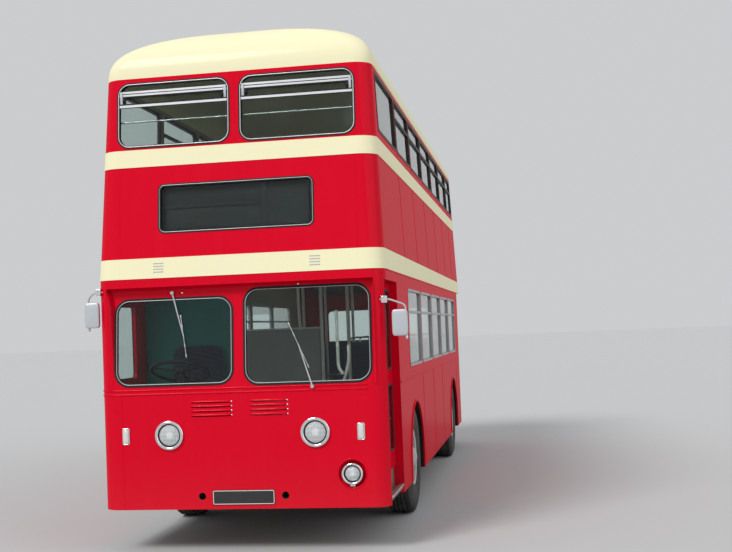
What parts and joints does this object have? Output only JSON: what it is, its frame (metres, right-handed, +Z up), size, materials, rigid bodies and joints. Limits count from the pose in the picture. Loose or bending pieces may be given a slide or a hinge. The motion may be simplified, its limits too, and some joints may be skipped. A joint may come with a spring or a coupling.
{
  "type": "double decker bus",
  "caption": "Two-deck front-entrance bus with windowed decks, round-cornered roof, folding entrance door, steered front wheels and rear engine housing.",
  "frame": {"origin": "on the ground, midway along the bus and midway across it with its mirrors", "axes": "+Y to the rear, +X to the nearside where the entrance is, +Z up"},
  "size_m": [2.719, 9.144, 4.42],
  "materials": {
    "red_paint": "gloss",
    "cream_paint": "gloss",
    "window_rubber": "matt",
    "window_glass": "polished",
    "frame_aluminium": "satin",
    "mirror_silver": "satin",
    "lamp_chrome": "polished",
    "lens_glass": "ribbed",
    "lamp_red": "gloss",
    "tyre_rubber": "matt",
    "wheel_grey": "satin",
    "chassis_black": "satin",
    "floor_brown": "matt",
    "seat_leathercloth": "satin",
    "cab_green": "satin",
    "inside_cream": "satin",
    "dash_black": "matt",
    "rail_cream": "gloss",
    "engine_iron": "rough",
    "blind_black": "matt",
    "wiper_steel": "satin"
  },
  "bodies": {
    "coachwork": {"upper_sides": "red_paint", "lower_sides": "red_paint", "upper_front_panel": "red_paint", "windscreen_surround": "red_paint", "front_apron": "red_paint", "upper_rear_panel": "red_paint", "lower_rear_panel": "red_paint", "engine_housing": "red_paint", "cream_bands": "cream_paint", "roof_dome": "cream_paint", "front_gaskets": "window_rubber", "side_windows": "window_glass", "end_windows": "window_glass", "window_frames": "frame_aluminium", "mirrors": "mirror_silver", "front_lamps": "lamp_chrome", "lamp_lenses": "lens_glass", "rear_lamps": "lamp_red", "chassis_frame": "chassis_black", "front_axle_beam": "chassis_black", "rear_axle": "chassis_black", "outriggers_and_tank": "chassis_black", "lower_floor": "floor_brown", "entrance_platform": "floor_brown", "upper_floor": "floor_brown", "wheel_boxes": "floor_brown", "seat_cushions": "seat_leathercloth", "seat_backs": "seat_leathercloth", "cab_bulkhead": "cab_green", "staircase": "inside_cream", "dash": "dash_black", "grab_rails": "rail_cream", "engine_block": "engine_iron", "blank_signs": "blind_black"},
    "nearside_knuckle": {"nearside_knuckle": "chassis_black"},
    "offside_knuckle": {"offside_knuckle": "chassis_black"},
    "nearside_front_wheel": {"nearside_front_tyre": "tyre_rubber", "nearside_front_rim": "wheel_grey"},
    "offside_front_wheel": {"offside_front_tyre": "tyre_rubber", "offside_front_rim": "wheel_grey"},
    "nearside_rear_wheel": {"nearside_rear_tyres": "tyre_rubber", "nearside_rear_rims": "wheel_grey"},
    "offside_rear_wheel": {"offside_rear_tyres": "tyre_rubber", "offside_rear_rims": "wheel_grey"},
    "rear_door": {"rear_door_leaf": "red_paint", "rear_door_leaf_glass": "window_glass"},
    "front_door": {"front_door_leaf": "red_paint", "front_door_leaf_glass": "window_glass"},
    "cab_side_door": {"cab_door": "red_paint", "cab_door_glass": "window_glass"},
    "engine_lid": {"engine_cover": "red_paint"},
    "exit_door": {"emergency_door": "red_paint", "emergency_door_glass": "window_glass"},
    "wheel_of_steering": {"steering_wheel": "dash_black"},
    "offside_wiper_arm": {"offside_wiper": "wiper_steel"},
    "nearside_wiper_arm": {"nearside_wiper": "wiper_steel"}
  },
  "joints": [
    {"name": "nearside_steer", "type": "hinge", "parent": "coachwork", "child": "nearside_knuckle", "pos_m": [0.87, -2.416, 0.527], "axis": [0, 0, 1], "range_deg": [-35, 35]},
    {"name": "offside_steer", "type": "hinge", "parent": "coachwork", "child": "offside_knuckle", "pos_m": [-0.87, -2.416, 0.527], "axis": [0, 0, 1], "range_deg": [-35, 35]},
    {"name": "nearside_front_wheel_roll", "type": "hinge", "parent": "nearside_knuckle", "child": "nearside_front_wheel", "pos_m": [1.051, -2.416, 0.527], "axis": [1, 0, 0], "continuous": true},
    {"name": "offside_front_wheel_roll", "type": "hinge", "parent": "offside_knuckle", "child": "offside_front_wheel", "pos_m": [-1.051, -2.416, 0.527], "axis": [1, 0, 0], "continuous": true},
    {"name": "nearside_rear_wheel_roll", "type": "hinge", "parent": "coachwork", "child": "nearside_rear_wheel", "pos_m": [0.892, 2.537, 0.527], "axis": [1, 0, 0], "continuous": true},
    {"name": "offside_rear_wheel_roll", "type": "hinge", "parent": "coachwork", "child": "offside_rear_wheel", "pos_m": [-0.892, 2.537, 0.527], "axis": [1, 0, 0], "continuous": true},
    {"name": "steering_wheel_turn", "type": "hinge", "parent": "coachwork", "child": "wheel_of_steering", "pos_m": [-0.65, -4.046, 1.475], "axis": [0, 0.3746, 0.9272], "range_deg": [-630, 630]},
    {"name": "rear_leaf_fold", "type": "hinge", "parent": "coachwork", "child": "rear_door", "pos_m": [1.134, -3.711, 1.4], "axis": [0, 0, -1], "range_deg": [0, 85]},
    {"name": "front_leaf_fold", "type": "hinge", "parent": "rear_door", "child": "front_door", "pos_m": [1.149, -4.066, 1.4], "axis": [0, 0, 1], "range_deg": [0, 170]},
    {"name": "cab_door_swing", "type": "hinge", "parent": "coachwork", "child": "cab_side_door", "pos_m": [-1.226, -4.209, 1.465], "axis": [0, 0, 1], "range_deg": [0, 80]},
    {"name": "engine_lid_lift", "type": "hinge", "parent": "coachwork", "child": "engine_lid", "pos_m": [0, 4.559, 1.282], "axis": [1, 0, 0], "range_deg": [0, 75]},
    {"name": "exit_door_swing", "type": "hinge", "parent": "coachwork", "child": "exit_door", "pos_m": [-0.553, 4.43529, 2.627], "axis": [0, -0.03, 0.9996], "range_deg": [0, 100]},
    {"name": "offside_wiper_sweep", "type": "hinge", "parent": "coachwork", "child": "offside_wiper_arm", "pos_m": [-0.568, -4.46171, 2.142], "axis": [0, 0.9945, -0.1052], "range_deg": [-48, 58]},
    {"name": "nearside_wiper_sweep", "type": "hinge", "parent": "coachwork", "child": "nearside_wiper_arm", "pos_m": [0.605, -4.54685, 1.337], "axis": [0, 0.9945, -0.1052], "range_deg": [-45, 58]}
  ],
  "couplings": [
    {"joint": "offside_steer", "follows": "nearside_steer", "ratio": 1},
    {"joint": "steering_wheel_turn", "follows": "nearside_steer", "ratio": 18},
    {"joint": "front_leaf_fold", "follows": "rear_leaf_fold", "ratio": 2}
  ]
}
